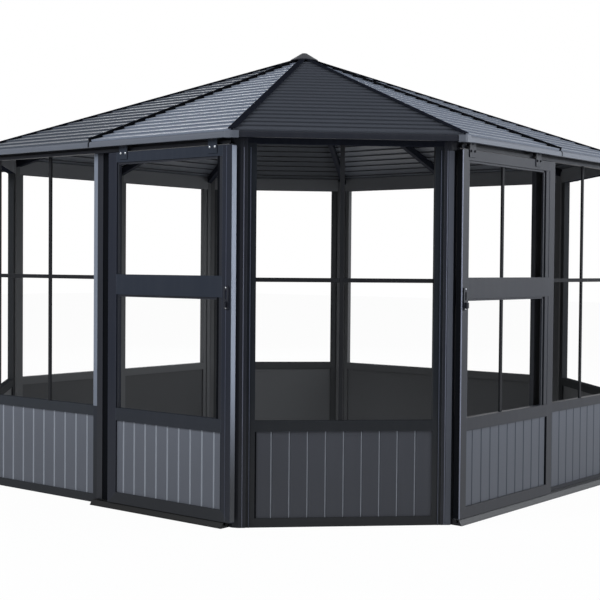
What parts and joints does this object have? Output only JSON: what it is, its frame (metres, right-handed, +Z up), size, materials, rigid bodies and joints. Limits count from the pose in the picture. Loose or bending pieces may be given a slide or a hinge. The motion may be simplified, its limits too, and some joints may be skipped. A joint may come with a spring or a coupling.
{
  "type": "metal gazebo",
  "caption": "Dark metal garden gazebo with cut corners, open windows over grooved knee panels, a low stepped-sheet hip roof and sliding doors hung outside the walls.",
  "frame": {"origin": "on the ground, under the middle of the roof", "axes": "+Z up, -Y out of the front wall, +X out of the side wall that holds the second door"},
  "size_m": [3.788, 3.788, 2.743],
  "materials": {
    "frame": "satin dark grey powder coat",
    "knee_panel": "satin dark grey powder coat",
    "roof_sheet": "satin dark grey coated sheet",
    "track": "satin dark grey powder coat",
    "hardware": "satin dark grey with bare steel screws",
    "black_strip": "matt black"
  },
  "bodies": {
    "gazebo": {"back_knee_panels": "knee_panel", "back_left_roof_sheet": "roof_sheet", "back_roof_sheets": "roof_sheet", "back_side_roof_sheet": "roof_sheet", "back_window_rails": "frame", "back_window_stiles": "frame", "corner_eave_rails": "frame", "corner_headers": "frame", "corner_knee_panels": "knee_panel", "corner_posts": "frame", "corner_window_rails": "frame", "corner_window_stiles": "frame", "crown_cap": "frame", "crown_hub": "frame", "door_guides": "track", "door_strikes": "hardware", "door_tracks": "track", "eave_joints": "frame", "front_door_jamb": "black_strip", "front_knee_panels": "knee_panel", "front_left_roof_sheet": "roof_sheet", "front_roof_sheets": "roof_sheet", "front_side_roof_sheet": "roof_sheet", "front_window_rails": "frame", "front_window_stiles": "frame", "hip_caps": "frame", "left_knee_panels": "knee_panel", "left_roof_sheets": "roof_sheet", "left_window_rails": "frame", "left_window_stiles": "frame", "mid_posts": "frame", "rafters": "frame", "seam_strips": "black_strip", "side_door_jamb": "black_strip", "side_knee_panels": "knee_panel", "side_roof_sheets": "roof_sheet", "side_window_rails": "frame", "side_window_stiles": "frame", "wall_eave_rails": "frame", "wall_headers": "frame"},
    "front_door": {"front_door_hangers": "hardware", "front_door_knee_panel": "knee_panel", "front_door_latch": "hardware", "front_door_rails": "frame", "front_door_stiles": "frame"},
    "side_door": {"side_door_hangers": "hardware", "side_door_knee_panel": "knee_panel", "side_door_latch": "hardware", "side_door_rails": "frame", "side_door_stiles": "frame"}
  },
  "joints": [
    {"name": "front_door_slide", "type": "slide", "parent": "gazebo", "child": "front_door", "axis": [-1, 0, 0], "range_m": [0, 0.86]},
    {"name": "side_door_slide", "type": "slide", "parent": "gazebo", "child": "side_door", "axis": [0, 1, 0], "range_m": [0, 0.95]}
  ]
}
